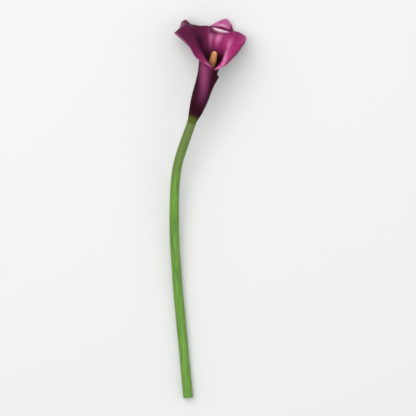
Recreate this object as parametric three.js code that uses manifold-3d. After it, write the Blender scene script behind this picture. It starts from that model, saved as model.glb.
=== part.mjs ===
// Calla lily flower, picked and laid on its back.
// A rolled spathe with a flaring limb, the spadix inside it, and a length of its stem.
// Millimetres, +Z up. +Y runs along the stem towards the mouth, +X to the right seen from above.

import * as THREE from 'three';
import { mergeVertices } from 'three/addons/utils/BufferGeometryUtils.js';
import Module from 'manifold-3d';

// ---------------------------------------------------------------- driving dimensions

// The middle of the flower's outline on the table, from where the stem meets the spathe.
const MIDDLE_X = 12.41;
const MIDDLE_Y = -70.72;

// Gap between pieces that touch.
const SEAT = 0.3;

// Stem: radius at the cut and at the spathe, how many sides, and where it is cut. It narrows with
// this power of the way up, so mostly near the spathe. Its neck reaches into the spathe's base.
const STEM_CUT_RADIUS = 4.0;
const STEM_TOP_RADIUS = 3.7;
const STEM_SIDES = 16;
const STEM_CUT = -228;
const STEM_RINGS = 36;
const STEM_TAPER = 3;
const NECK_RADIUS = 2.2;
const NECK_TOP = 4.5;

// Height of the stem's centre line where it lies on the table on one of its flats.
const LYING = STEM_CUT_RADIUS * Math.cos(Math.PI / STEM_SIDES);

// Centre line of the stem and of the spathe's tube: y, x, z.
const SPINE = [
  [-228, -4.0, LYING],
  [-180, -8.5, LYING],
  [-125, -13.5, 6.5],
  [-80, -15.5, 11.5],
  [-35, -12.5, 18.0],
  [0, -1.0, 23.0],
  [23, 6.4, 26.0],
  [44, 13.2, 28.0],
  [60, 18.0, 29.0],
];

// Spathe: radius of the tube along its length, y and radius.
const TUBE = [
  [0, 3.4],
  [6, 4.0],
  [10, 4.7],
  [16, 5.7],
  [23, 6.3],
  [31, 6.6],
  [38, 7.2],
  [44, 8.2],
  [50, 9.6],
];

// Each half turn of the sheet lies this much further in, so that its layers pass each other.
const SPIRAL = 0.7;
const SPIRAL_MIDDLE = -30;

// Thickness of the sheet in the tube and in the limb, and where along a line it changes.
const TUBE_THICKNESS = 1.0;
const LIMB_THICKNESS = 0.62;
const THINS_FROM = 0.35;
const THINS_TO = 0.75;
const SHEET_START = 8;

// Azimuths run round the tube: 0 faces the table, 90 right, 180 and -180 up, -90 left.
const FIRST_AZIMUTH = -316;
const LAST_AZIMUTH = 218;

// Columns of the sheet's grid: from each azimuth to the next, closest together at the notch.
const SECTORS = [
  [FIRST_AZIMUTH, 12],
  [-214, 10],
  [-180, 43],
  [126, 10],
  [160, 7],
];
const TUBE_ROWS = 8;
const LIMB_ROWS = 15;

// Height of the throat, where the tube opens into the limb, and at the notch in front.
const THROAT = 42.0;
const NOTCH = 41.2;
const NOTCH_REACH = 40;

// The limb by azimuth: x, y, z of its crest, then of its rolled-over rim, then of its edge.
const LIMB = [
  [-210, 17.1, 41.7, 35.8, 17.4, 42.3, 36.0, 17.6, 42.9, 36.2],
  [-198, 14.7, 46.2, 36.8, 14.2, 46.6, 37.6, 13.3, 46.1, 38.3],
  [-180, 11.0, 53.2, 37.1, 9.4, 52.2, 39.0, 7.4, 49.2, 38.9],
  [-155, 6.0, 61.0, 35.6, 2.6, 58.8, 36.2, 0.8, 55.0, 34.6],
  [-125, 3.4, 68.5, 32.0, -1.8, 68.8, 30.0, -6.0, 65.4, 25.5],
  [-103, 0.4, 74.6, 28.4, -7.0, 76.0, 23.4, -13.5, 72.1, 16.4],
  [-95, -0.6, 76.5, 26.5, -8.4, 78.2, 20.6, -15.5, 73.9, 13.0],
  [-87, -1.4, 77.9, 24.3, -8.3, 79.7, 17.8, -13.8, 75.3, 10.2],
  [-75, -2.6, 79.8, 21.0, -7.4, 81.8, 14.0, -11.4, 78.3, 6.0],
  [-58, -2.6, 81.4, 15.5, -6.0, 85.9, 8.5, -9.0, 85.0, -0.2],
  [-40, 0.0, 80.4, 11.5, -2.0, 81.4, 5.8, -3.5, 78.6, 0.2],
  [-15, 6.5, 79.8, 9.5, 6.1, 78.6, 5.0, 6.0, 74.5, 2.2],
  [8, 14.5, 79.3, 9.5, 14.9, 79.4, 4.9, 15.2, 78.6, 2.8],
  [17, 18.6, 78.5, 9.8, 19.0, 80.5, 5.4, 19.4, 82.9, 4.4],
  [26, 22.5, 77.3, 10.5, 24.0, 80.6, 4.8, 27.4, 86.8, 7.2],
  [34, 26.6, 76.3, 11.3, 28.5, 78.8, 5.3, 31.2, 82.8, 5.0],
  [42, 30.5, 75.4, 12.5, 32.3, 77.0, 5.7, 33.0, 77.0, 1.6],
  [57, 37.2, 74.4, 15.8, 39.0, 75.0, 7.1, 38.2, 71.0, -0.6],
  [78, 39.8, 69.4, 22.4, 43.9, 70.2, 14.8, 42.9, 67.0, 7.5],
  [98, 32.4, 62.8, 28.9, 40.2, 62.6, 24.2, 41.0, 60.0, 17.2],
  [118, 27.0, 54.8, 32.6, 32.1, 54.1, 31.2, 34.0, 52.0, 26.6],
  [136, 22.4, 48.3, 34.0, 23.7, 47.7, 35.0, 25.3, 46.1, 33.7],
  [143, 18.4, 44.6, 34.1, 18.5, 45.0, 34.6, 18.6, 45.0, 35.2],
  [150, 16.0, 41.6, 34.2, 16.3, 42.3, 34.4, 16.7, 43.0, 34.7],
];
const LIMB_FROM = LIMB[0][0];
const LIMB_TO = LIMB[LIMB.length - 1][0];

// The margins that lie on the tube: azimuth and height. One wraps outside, one inside.
const OUTER_MARGIN = [
  [-318, 10.5],
  [-305, 18],
  [-290, 28],
  [-270, 37.5],
  [-240, 41.5],
  [-210, 45.0],
];
const INNER_MARGIN = [
  [150, 44.7],
  [175, 41],
  [195, 30],
  [212, 14],
  [220, 10.5],
];

// The outer margin turns up a little where it crosses the right side of the tube.
const FLARE = 1.8;
const FLARE_AZIMUTH = -250;
const FLARE_SPREAD = 25;

// Share of the way to its edge at which a line of the sheet leaves the tube. It is the first
// value beside the limb and the second further round, over a reach in degrees.
const THROAT_SHARES = [0.94, 0.5];
const SHARE_REACH = 45;

// Where each knot ring lies along a line from the base to the edge, 0 to 1. The first five knots
// are on the tube, at shares of the way to the throat. A margin's other four are at shares of the
// way from the throat to the margin.
const KNOTS = [0, 0.07, 0.17, 0.3, 0.44, 0.63, 0.8, 0.9, 1];
const TUBE_SHARES = [0, 0.14, 0.36, 0.68, 1];
const MARGIN_SHARES = [0.35, 0.65, 0.85, 1];
const TUBE_END = 0.44;

// The limb bows in between throat and crest.
const WALL_SHARE = 0.66;
const WALL_BOW = 0.1;

// Collar: the solid base in which the layers of the spathe join. Its outside runs up and its
// inside back down, y and radius.
const COLLAR_SIDES = 32;
const COLLAR_OUTSIDE = [
  [SEAT, 3.75],
  [3, 4.25],
  [6, 4.9],
  [9.5, 5.5],
  [12, 5.45],
];
const COLLAR_INSIDE = [
  [11, 4.2],
  [8, 3.0],
  [NECK_TOP, 2.6],
  [SEAT, 2.6],
];
// Heights between which the collar goes from round to wound like the sheet.
const COLLAR_ROUND = 2;
const COLLAR_WOUND = 9;

// Spadix: how far its tip leans right, its grid, and its radius along its length, y and radius.
const SPADIX_SHIFT = 0.5;
const SPADIX_SIDES = 28;
const SPADIX_RINGS = 46;
const SPADIX_START = NECK_TOP + SEAT;
const SPADIX_END = 59;
const SPADIX = [
  [SPADIX_START, 2.0],
  [10, 2.55],
  [16, 3.1],
  [24, 3.35],
  [44, 3.35],
  [51, 3.1],
  [55, 2.5],
  [SPADIX_END, 1.75],
];
// Its rings lie closer together towards the tip, which is rounded over a short length.
const SPADIX_CROWDING = 1.25;
const SPADIX_ROUND = 2.2;
const SPADIX_TIP_SHARE = 0.1;
// Florets: height of the relief, columns round the spadix, pitch along it, and the lengths over
// which the relief fades out at the base and at the tip.
const FLORET_HEIGHT = 0.22;
const FLORET_COLUMNS = 7;
const FLORET_PITCH = 5.0;
const FLORET_FADE_BASE = 4.0;
const FLORET_FADE_TIP = 2.0;

// ---------------------------------------------------------------- curves

/** Smooth curve through rows of [position, ...values], as the values at one position. */
function through(rows, at) {
  const last = rows.length - 1;
  let i = 0;
  while (i < last - 1 && at >= rows[i + 1][0]) i += 1;
  const width = (n) => rows[n + 1][0] - rows[n][0];
  const rise = (n, k) => (rows[n + 1][k] - rows[n][k]) / width(n);
  const slope = (n, k) => {
    if (n === 0) return rise(0, k);
    if (n === last) return rise(last - 1, k);
    return (rise(n - 1, k) * width(n) + rise(n, k) * width(n - 1)) / (width(n - 1) + width(n));
  };
  const h = width(i);
  const s = (at - rows[i][0]) / h;
  const values = [];
  for (let k = 1; k < rows[i].length; k += 1) {
    values.push(
      rows[i][k] * (1 + 2 * s) * (1 - s) ** 2 +
        slope(i, k) * h * s * (1 - s) ** 2 +
        rows[i + 1][k] * s * s * (3 - 2 * s) -
        slope(i + 1, k) * h * s * s * (1 - s),
    );
  }
  return values;
}

/** Point of the centre line at height y; it never sinks below the lying part. */
function centre(y) {
  const [x, z] = through(SPINE, y);
  return new THREE.Vector3(x, y, Math.max(z, LYING));
}

/** Axes across the centre line at height y: side points right, front points up from the table. */
function axes(y) {
  const along = centre(y + 0.5).sub(centre(y - 0.5)).normalize();
  const side = along.clone().cross(new THREE.Vector3(0, 0, 1)).normalize();
  const front = side.clone().cross(along);
  return { side, front };
}

/** Point at a radius round the centre line, at an azimuth in degrees. */
function round(y, azimuth, radius) {
  const { side, front } = axes(y);
  const a = THREE.MathUtils.degToRad(azimuth);
  return centre(y)
    .addScaledVector(side, radius * Math.sin(a))
    .addScaledVector(front, -radius * Math.cos(a));
}

// ---------------------------------------------------------------- solids

/** Closed geometry from points and triangles, with any points on one spot joined. */
function solid(points, triangles) {
  const flat = points.flatMap((p) => [p.x - MIDDLE_X, p.y - MIDDLE_Y, p.z]);
  const geometry = new THREE.BufferGeometry();
  geometry.setAttribute('position', new THREE.Float32BufferAttribute(flat, 3));
  geometry.setIndex(triangles);
  return mergeVertices(geometry, 1e-4);
}

/** Triangles between two neighbouring rings or rows that start at points a and b. */
function band(a, b, count, closed) {
  const triangles = [];
  const steps = closed ? count : count - 1;
  for (let i = 0; i < steps; i += 1) {
    const j = (i + 1) % count;
    triangles.push(a + i, a + j, b + j, a + i, b + j, b + i);
  }
  return triangles;
}

/** Rings round the centre line joined into a tube with flat ends. */
function rod(rings, sides) {
  const points = rings.flat();
  const triangles = [];
  for (let r = 0; r < rings.length - 1; r += 1) {
    triangles.push(...band((r + 1) * sides, r * sides, sides, true));
  }
  const last = (rings.length - 1) * sides;
  for (let i = 1; i < sides - 1; i += 1) {
    triangles.push(0, i, i + 1, last, last + i + 1, last + i);
  }
  return solid(points, triangles);
}

/** One ring of points at height y. */
function ring(y, radius, sides, turn = 0) {
  return Array.from({ length: sides }, (_, i) => round(y, turn + (360 * i) / sides, radius));
}

// ---------------------------------------------------------------- stem

/** The stem from its cut end to its shoulder, and the neck that the spathe's base fits round. */
function makeStem() {
  const turn = 180 / STEM_SIDES;
  const rings = [];
  for (let r = 0; r <= STEM_RINGS; r += 1) {
    const share = r / STEM_RINGS;
    const y = STEM_CUT * (1 - share);
    const radius = THREE.MathUtils.lerp(STEM_CUT_RADIUS, STEM_TOP_RADIUS, share ** STEM_TAPER);
    rings.push(ring(y, radius, STEM_SIDES, turn));
  }
  rings.push(ring(0, NECK_RADIUS, STEM_SIDES, turn));
  rings.push(ring(NECK_TOP, NECK_RADIUS, STEM_SIDES, turn));
  return rod(rings, STEM_SIDES);
}

// ---------------------------------------------------------------- spadix

/** Height of the florets' relief: two crossing sets of spiral rows, faded out at the ends. */
function florets(y, azimuth) {
  const turn = THREE.MathUtils.degToRad(azimuth) * FLORET_COLUMNS;
  const climb = (2 * Math.PI * y) / FLORET_PITCH;
  const fromBase = (y - SPADIX_START) / FLORET_FADE_BASE;
  const fromTip = (SPADIX_END - y) / FLORET_FADE_TIP;
  const fade = Math.min(1, fromBase, fromTip);
  return FLORET_HEIGHT * fade * Math.cos(turn + climb) * Math.cos(turn - climb);
}

/** The finger of florets that stands on the stem's neck. */
function makeSpadix() {
  const rings = [];
  for (let r = 0; r <= SPADIX_RINGS; r += 1) {
    const share = r / SPADIX_RINGS;
    const y = THREE.MathUtils.lerp(SPADIX_END, SPADIX_START, (1 - share) ** SPADIX_CROWDING);
    const down = Math.max(0, (y - SPADIX_END + SPADIX_ROUND) / SPADIX_ROUND);
    const rounded = Math.max(Math.sqrt(1 - Math.min(down, 1) ** 2), SPADIX_TIP_SHARE);
    const radius = through(SPADIX, y)[0] * rounded;
    const shift = SPADIX_SHIFT * share;
    const points = [];
    for (let i = 0; i < SPADIX_SIDES; i += 1) {
      const azimuth = (360 * i) / SPADIX_SIDES;
      const point = round(y, azimuth, radius + florets(y, azimuth));
      point.x += shift;
      points.push(point);
    }
    rings.push(points);
  }
  return rod(rings, SPADIX_SIDES);
}

// ---------------------------------------------------------------- spathe

/** Point of the rolled tube at an azimuth, its radius wound inwards as the azimuth grows. */
function tubePoint(azimuth, y, flare = 0) {
  const radius = through(TUBE, y)[0] - (SPIRAL * (azimuth - SPIRAL_MIDDLE)) / 180;
  return round(y, azimuth, radius + flare);
}

/** Rises smoothly from 0 to 1 as t does. */
function ease(t) {
  const s = THREE.MathUtils.clamp(t, 0, 1);
  return s * s * (3 - 2 * s);
}

/** Knots of a line that ends at a margin on the tube, outside or inside the next layer. */
function marginKnots(azimuth) {
  const outer = azimuth < 0;
  const margin = through(outer ? OUTER_MARGIN : INNER_MARGIN, azimuth)[0];
  const past = outer ? LIMB_FROM - azimuth : azimuth - LIMB_TO;
  const share = THREE.MathUtils.lerp(...THROAT_SHARES, ease(past / SHARE_REACH));
  const throat = SHEET_START + (margin - SHEET_START) * share;
  const flare = FLARE * Math.exp(-(((azimuth - FLARE_AZIMUTH) / FLARE_SPREAD) ** 2));
  const knots = TUBE_SHARES.map((s) => tubePoint(azimuth, SHEET_START + (throat - SHEET_START) * s));
  for (const s of MARGIN_SHARES) {
    knots.push(tubePoint(azimuth, throat + (margin - throat) * s, flare * s * s));
  }
  return knots;
}

/** Knots of a line that runs up the tube and on over the limb's crest to its edge. */
function limbKnots(azimuth) {
  const fromNotch = Math.min(azimuth - LIMB_FROM, LIMB_TO - azimuth);
  const open = ease(fromNotch / NOTCH_REACH);
  const throat = THREE.MathUtils.lerp(NOTCH, THROAT, open);
  const knots = TUBE_SHARES.map((s) => tubePoint(azimuth, SHEET_START + (throat - SHEET_START) * s));

  const limb = through(LIMB, azimuth);
  const [crest, roll, edge] = [0, 3, 6].map((k) => new THREE.Vector3(...limb.slice(k, k + 3)));
  const start = knots[knots.length - 1];
  const up = crest.clone().sub(start);
  const inward = centre(throat).sub(round(throat, azimuth, 1));
  const wall = start.clone().addScaledVector(up, WALL_SHARE);
  wall.addScaledVector(inward, up.length() * WALL_BOW * open);
  knots.push(wall, crest, roll, edge);
  return knots;
}

/** One line of the sheet from base to edge: a smooth curve, its knots spaced by their distance. */
function sheetLine(azimuth, rows) {
  const onTube = azimuth < LIMB_FROM || azimuth > LIMB_TO;
  const knots = onTube ? marginKnots(azimuth) : limbKnots(azimuth);
  let length = 0;
  const table = knots.map((p, i) => {
    if (i > 0) length += p.distanceTo(knots[i - 1]);
    return [length, p.x, p.y, p.z];
  });
  return rows.map((v) => {
    let i = 0;
    while (i < KNOTS.length - 2 && v >= KNOTS[i + 1]) i += 1;
    const share = (v - KNOTS[i]) / (KNOTS[i + 1] - KNOTS[i]);
    const at = THREE.MathUtils.lerp(table[i][0], table[i + 1][0], share);
    return new THREE.Vector3(...through(table, at));
  });
}

/** Positions of the sheet's rows from base to edge, closer together in the limb. */
function sheetRows() {
  const rows = [];
  for (let i = 0; i < TUBE_ROWS; i += 1) rows.push((TUBE_END * i) / TUBE_ROWS);
  for (let i = 0; i <= LIMB_ROWS; i += 1) rows.push(TUBE_END + ((1 - TUBE_END) * i) / LIMB_ROWS);
  return rows;
}

/** Azimuths of the sheet's columns. */
function sheetColumns() {
  const columns = [];
  SECTORS.forEach(([from, count], n) => {
    const to = n + 1 < SECTORS.length ? SECTORS[n + 1][0] : LAST_AZIMUTH;
    for (let i = 0; i < count; i += 1) columns.push(from + ((to - from) * i) / count);
  });
  return [...columns, LAST_AZIMUTH];
}

/** Direction straight out of the sheet at each point of its grid, evened out over two steps. */
function sheetNormals(grid) {
  const within = (i, list) => Math.min(Math.max(i, 0), list.length - 1);
  return grid.map((line, c) =>
    line.map((_, r) => {
      const sum = new THREE.Vector3();
      for (const step of [1, 2]) {
        const next = grid[within(c + step, grid)][r];
        const back = grid[within(c - step, grid)][r];
        const up = line[within(r + step, line)];
        const down = line[within(r - step, line)];
        sum.add(next.clone().sub(back).cross(up.clone().sub(down)).normalize());
      }
      return sum.normalize();
    }),
  );
}

/** Indices round the rim of a grid whose columns hold `high` points each. */
function rimOf(wide, high) {
  const base = Array.from({ length: wide - 1 }, (_, c) => c * high);
  const last = Array.from({ length: high - 1 }, (_, r) => (wide - 1) * high + r);
  const edge = Array.from({ length: wide - 1 }, (_, c) => (wide - c) * high - 1);
  const first = Array.from({ length: high - 1 }, (_, r) => high - 1 - r);
  return [...base, ...last, ...edge, ...first];
}

/** The rolled sheet as a closed solid: both faces split alike, and joined round the rim. */
function makeSheet() {
  const rows = sheetRows();
  const azimuths = sheetColumns();
  const grid = azimuths.map((azimuth) => sheetLine(azimuth, rows));
  const normals = sheetNormals(grid);
  const points = [];
  for (const face of [1, -1]) {
    grid.forEach((line, c) =>
      line.forEach((p, r) => {
        const thin = ease((rows[r] - THINS_FROM) / (THINS_TO - THINS_FROM));
        const thick = THREE.MathUtils.lerp(TUBE_THICKNESS, LIMB_THICKNESS, thin);
        const point = p.clone().addScaledVector(normals[c][r], (face * thick) / 2);
        point.z = Math.max(point.z, 0);
        points.push(point);
      }),
    );
  }

  const high = rows.length;
  const wide = grid.length;
  const other = high * wide;
  const triangles = [];
  for (let c = 0; c < wide - 1; c += 1) {
    triangles.push(...band((c + 1) * high, c * high, high, false));
  }
  triangles.push(...triangles.map((_, i) => other + triangles[i + 2 - 2 * (i % 3)]));
  const rim = rimOf(wide, high);
  rim.forEach((p, i) => {
    const q = rim[(i + 1) % rim.length];
    triangles.push(q, p, other + p, q, other + p, other + q);
  });
  return solid(points, triangles);
}

/** The closed ring of tissue at the spathe's base, round the stem's neck. */
function makeCollar() {
  const middle = FIRST_AZIMUTH + 180;
  const wound = (y) => SPIRAL * ease((y - COLLAR_ROUND) / (COLLAR_WOUND - COLLAR_ROUND));
  const ringOf = (y, radius, winding) =>
    Array.from({ length: COLLAR_SIDES }, (_, i) => {
      const azimuth = FIRST_AZIMUTH + (360 * (i + 0.5)) / COLLAR_SIDES;
      return round(y, azimuth, radius - (winding * (azimuth - middle)) / 180);
    });
  const outside = COLLAR_OUTSIDE.map(([y, radius]) => ringOf(y, radius, wound(y)));
  const inside = COLLAR_INSIDE.map(([y, radius]) => ringOf(y, radius, 0));
  const rings = [...outside, ...inside];
  const points = rings.flat();
  const triangles = [];
  for (let r = 0; r < rings.length; r += 1) {
    const next = (r + 1) % rings.length;
    triangles.push(...band(next * COLLAR_SIDES, r * COLLAR_SIDES, COLLAR_SIDES, true));
  }
  return solid(points, triangles);
}

/** Joins closed solids into one. */
async function join(geometries) {
  const wasm = await Module();
  wasm.setup();
  const bodies = geometries.map((geometry) => {
    const vertProperties = new Float32Array(geometry.attributes.position.array);
    const triVerts = new Uint32Array(geometry.index.array);
    return new wasm.Manifold(new wasm.Mesh({ numProp: 3, vertProperties, triVerts }));
  });
  const mesh = bodies.reduce((sum, body) => sum.add(body)).getMesh();
  const joined = new THREE.BufferGeometry();
  joined.setAttribute('position', new THREE.Float32BufferAttribute(mesh.vertProperties, 3));
  joined.setIndex(Array.from(mesh.triVerts));
  return joined;
}

// ---------------------------------------------------------------- the flower

function piece(name, geometry, color, roughness) {
  geometry.computeVertexNormals();
  const material = new THREE.MeshStandardMaterial({ color, roughness });
  material.name = `${name}_skin`;
  const mesh = new THREE.Mesh(geometry, material);
  mesh.name = name;
  return mesh;
}

const flower = new THREE.Group();
flower.name = 'calla_lily_flower';
flower.add(piece('stem', makeStem(), 0x5f9126, 0.5));
flower.add(piece('spathe', await join([makeSheet(), makeCollar()]), 0x7c2458, 0.45));
flower.add(piece('spadix', makeSpadix(), 0xe0943f, 0.7));

export default flower;
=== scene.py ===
"""Calla lily flower, picked and laid on a table: the rolled spathe, the spadix in it and the cut stem.

Sizes in the tables are millimetres, measured from where the stem meets the spathe: +X right, +Y along
the stem towards the mouth, +Z up. Azimuths run round the tube: 0 faces the table, 90 right, 180 and
-180 up, -90 left.
"""

import bpy
import numpy as np
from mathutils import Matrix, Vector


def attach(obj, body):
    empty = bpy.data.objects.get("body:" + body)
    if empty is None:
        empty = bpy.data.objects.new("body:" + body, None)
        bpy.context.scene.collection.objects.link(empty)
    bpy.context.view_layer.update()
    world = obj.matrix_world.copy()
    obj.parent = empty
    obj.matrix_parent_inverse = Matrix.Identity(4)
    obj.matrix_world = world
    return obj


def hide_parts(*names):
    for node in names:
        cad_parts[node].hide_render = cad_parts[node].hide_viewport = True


bl_info = {
    "name": "Calla Lily Flower",
    "version": (1, 0, 0),
    "blender": (4, 5, 0),
    "location": "3D View > Sidebar > Flower",
    "description": "A picked calla lily on a table: rolled spathe, spadix and stem",
    "category": "Add Mesh",
}

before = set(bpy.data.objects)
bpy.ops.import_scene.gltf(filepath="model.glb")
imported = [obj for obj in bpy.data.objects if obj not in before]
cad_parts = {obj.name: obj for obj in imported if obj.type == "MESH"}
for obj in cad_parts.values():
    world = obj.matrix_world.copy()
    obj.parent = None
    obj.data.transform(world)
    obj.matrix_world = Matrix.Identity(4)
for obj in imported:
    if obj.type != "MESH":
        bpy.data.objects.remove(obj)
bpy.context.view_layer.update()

# A millimetre in metres, and the point of the tables that lies at the frame's origin.
MM = 0.001
MIDDLE = np.array([12.41, -70.72, 0.0])

# ---------------------------------------------------------------- driving dimensions

# Stem: radius at the cut and below the spathe, and where it is cut. Where it lies, its centre line is
# as high as that of the solid, which rests on one of its flat sides.
STEM_CUT_RADIUS = 4.0
STEM_TOP_RADIUS = 3.7
STEM_CUT = -228.0
SOLID_SIDES = 16
LYING = STEM_CUT_RADIUS * np.cos(np.pi / SOLID_SIDES)

# Centre line of the stem and of the spathe's tube: y, x, z.
SPINE = [
    (-228, -4.0, LYING),
    (-180, -8.5, LYING),
    (-125, -13.5, 6.5),
    (-80, -15.5, 11.5),
    (-35, -12.5, 18.0),
    (0, -1.0, 23.0),
    (23, 6.4, 26.0),
    (44, 13.2, 28.0),
    (60, 18.0, 29.0),
]

# Radius of the spathe's tube along its length: y, radius.
TUBE = [
    (-1, 3.5),
    (0, 3.5),
    (2, 3.53),
    (4, 3.7),
    (7, 4.2),
    (10, 4.7),
    (16, 5.7),
    (23, 6.3),
    (31, 6.6),
    (38, 7.2),
    (44, 8.2),
    (50, 9.6),
]

# Each half turn of the sheet lies SPIRAL further in, and at the azimuth SPIRAL_MIDDLE it has the tube's
# radius. Below the height SPIRAL_FULL the layers close up.
SPIRAL = 0.7
SPIRAL_AT_BASE = 0.03
SPIRAL_MIDDLE = -30
SPIRAL_FULL = 9.0

# Columns of the sheet: an azimuth, and how many columns run from there to the next one or to the last.
SECTORS = [(-346, 36), (-214, 26), (-180, 84), (-8, 68), (52, 44), (126, 28), (160, 22)]
LAST_AZIMUTH = 228

# Rows of the sheet: how many on the tube and on the limb, the share of the way from base to edge where
# the sheet begins to round off, and the last rows, which lie close together round the edge.
TUBE_ROWS = 36
LIMB_ROWS = 84
EDGE_FROM = 0.985
EDGE_ROWS = (0.9925, 0.9965, 0.999, 1.0)

# Height at which the sheet starts, and at which its lines leave the tube: THROAT for most of the limb,
# and NOTCH at its two ends, from which it takes NOTCH_REACH degrees to change.
SHEET_START = -0.5
THROAT = 42.0
NOTCH = 41.2
NOTCH_REACH = 40

# The limb by azimuth: x, y, z of its crest, then of its rolled-over rim, then of its edge.
LIMB = [
    (-210, 17.1, 41.7, 35.8, 17.4, 42.3, 36.0, 17.6, 42.9, 36.2),
    (-198, 14.7, 46.2, 36.8, 14.2, 46.6, 37.6, 13.3, 46.1, 38.3),
    (-180, 10.2, 52.9, 37.1, 9.4, 52.2, 39.0, 7.4, 49.2, 38.9),
    (-155, 5.0, 60.6, 35.6, 2.6, 58.8, 36.2, 0.8, 55.0, 34.6),
    (-140, 3.5, 64.5, 34.1, 0.5, 64.1, 33.5, -2.6, 61.2, 30.6),
    (-125, 2.3, 68.2, 32.0, -1.9, 68.7, 30.0, -6.3, 65.1, 25.5),
    (-103, -0.6, 74.4, 28.4, -7.0, 76.0, 23.4, -13.5, 72.1, 16.4),
    (-95, -1.4, 76.4, 26.5, -8.4, 78.2, 20.6, -15.5, 73.9, 13.0),
    (-87, -1.4, 77.9, 24.3, -7.9, 79.5, 17.8, -12.4, 75.6, 10.2),
    (-75, -2.6, 79.6, 21.0, -7.4, 81.2, 14.0, -11.4, 77.9, 6.0),
    (-58, -2.6, 80.9, 15.5, -6.0, 84.9, 8.5, -9.0, 84.0, -0.2),
    (-40, 0.0, 80.4, 11.5, -2.0, 81.4, 5.8, -3.5, 78.6, 0.2),
    (-15, 6.5, 79.8, 9.5, 6.1, 78.6, 5.0, 6.0, 74.5, 2.2),
    (8, 14.5, 79.3, 9.5, 14.6, 80.1, 5.0, 14.6, 80.6, 3.2),
    (17, 18.6, 78.2, 9.8, 18.5, 80.3, 5.4, 17.8, 82.4, 4.4),
    (26, 22.5, 77.0, 10.5, 24.0, 80.2, 4.8, 27.2, 86.0, 7.2),
    (34, 26.6, 75.9, 11.3, 28.8, 78.2, 5.3, 31.5, 81.7, 5.0),
    (42, 30.5, 74.9, 12.5, 32.6, 76.1, 5.7, 33.4, 76.4, 1.6),
    (57, 36.8, 73.3, 15.8, 38.6, 73.7, 7.1, 37.9, 70.2, -0.6),
    (78, 39.8, 69.4, 22.4, 43.9, 70.2, 14.8, 42.9, 67.0, 7.5),
    (98, 32.3, 63.0, 28.9, 39.4, 63.1, 24.2, 39.9, 61.1, 17.2),
    (118, 26.8, 54.9, 32.6, 31.7, 54.6, 31.2, 33.1, 53.0, 26.6),
    (136, 22.4, 48.0, 34.0, 23.7, 47.1, 35.0, 25.0, 45.5, 33.7),
    (143, 18.6, 44.4, 34.1, 19.2, 44.3, 34.6, 19.9, 43.5, 34.9),
    (150, 16.0, 41.6, 34.2, 16.3, 42.3, 34.4, 16.7, 43.0, 34.7),
]
LIMB_FROM = LIMB[0][0]
LIMB_TO = LIMB[-1][0]

# The margins that lie on the tube: azimuth and height. The first wraps outside, the second inside.
OUTER_MARGIN = [
    (-346, 0.6), (-330, 5), (-318, 10.5), (-305, 18),
    (-290, 28), (-270, 37.5), (-240, 41.5), (-210, 45.0),
]
INNER_MARGIN = [(150, 44.7), (175, 41), (195, 30), (212, 14), (228, 1.0)]

# How far the outer margin stands off the tube, at which azimuth it does most, and over what spread.
FLARE = 1.8
FLARE_AZIMUTH = -250
FLARE_SPREAD = 25

# The part of a margin's line that stays on the tube, as a share of its height: beside the limb, and
# from SHARE_REACH degrees away from it.
THROAT_SHARES = (0.94, 0.5)
SHARE_REACH = 45

# Knots of a line of the sheet. TUBE_SHARES are shares of its part on the tube, and MARGIN_SHARES of the
# rest of a margin's line. KNOTS are the shares of the way from base to edge that all knots are given.
TUBE_SHARES = np.array([0, 0.08, 0.15, 0.22, 0.31, 0.49, 0.74, 1])
TUBE_END = 0.44
MARGIN_SHARES = np.array([0.35, 0.65, 0.85, 1])
KNOTS = np.concatenate([TUBE_END * TUBE_SHARES, [0.63, 0.8, 0.9, 1]])

# The limb's knot between throat and crest: its share of that way, and its bow inwards as a share of it.
WALL_SHARE = 0.66
WALL_BOW = 0.1

# Thickness at the sheet's base, as a share of the full one, up to what height, and over what height it
# grows to the full one.
BASE_SHARE = 0.4
BASE_UP_TO = 0.5
BASE_OVER = 4.5

# Height of the free limb's long and short waves, and of the fine veins as a share of the broad ones'.
LONG_WAVE = 0.28
SHORT_WAVE = 0.14
FINE_VEINS = 0.4

# Relief of the fold below the tip: height, then middle and spread as shares of the way to the edge.
FOLD_RELIEF = [(0.55, 0.782, 0.019), (-0.35, 0.742, 0.018), (-0.45, 0.834, 0.02)]

# How far up its lines the throat's darker purple and its painted shade reach: azimuth and share of the
# way from base to edge.
THROAT_REACH = [
    (-210, 0.5), (-60, 0.6), (0, 0.59), (20, 0.6), (50, 0.61), (65, 0.59),
    (80, 0.6), (92, 0.66), (100, 0.7), (120, 0.79), (140, 0.82),
]

# Spadix: its lower and upper end, its radius along its length as y and radius, and the length of its
# rounded tip.
SPADIX_START = 4.8
SPADIX_END = 58.4
SPADIX = [(4.8, 2.0), (10, 2.55), (16, 3.1), (24, 3.35), (44, 3.35), (51, 3.1), (55, 2.5), (59, 1.75)]
SPADIX_ROUND = 2.2

# The spadix leans to the right by SPADIX_SHIFT at its tip, and bends to the right by SPADIX_BEND round
# a height, over a spread.
SPADIX_SHIFT = 0.5
SPADIX_BEND = 0.9
SPADIX_BENT_AT = 47
SPADIX_BENT_OVER = 8

# How far below the spadix's end its last ring lies, and the power by which its rings crowd to the tip.
LAST_RING_BELOW = 0.02
RING_CROWDING = 1.25

# Florets: the power that makes them blunt, and the numbers that give each one its own share.
FLORET_POWER = 0.45
LOT_FACTORS = (12.9898, 78.233, 437.585)

# Points round the spadix and the stem, and rings along them.
SPADIX_SIDES, SPADIX_RINGS = 162, 330
STEM_SIDES, STEM_RINGS = 110, 420

# The stem's length: how far over the cut its rings start, at what height they end, and by how much its
# shoulder narrows there.
BODY_OVER_CUT = 0.5
BODY_END = 0.1
SHOULDER = 0.12

# Cut end of the stem: how deep it is dished, how many rings its face has, and the rings of its rounded
# lip as height over the cut and share of the radius.
CUT_DISH = 0.45
CUT_RINGS = 14
CUT_LIP = [(0.0, 0.965), (0.08, 0.99), (0.22, 1.0)]

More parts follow.
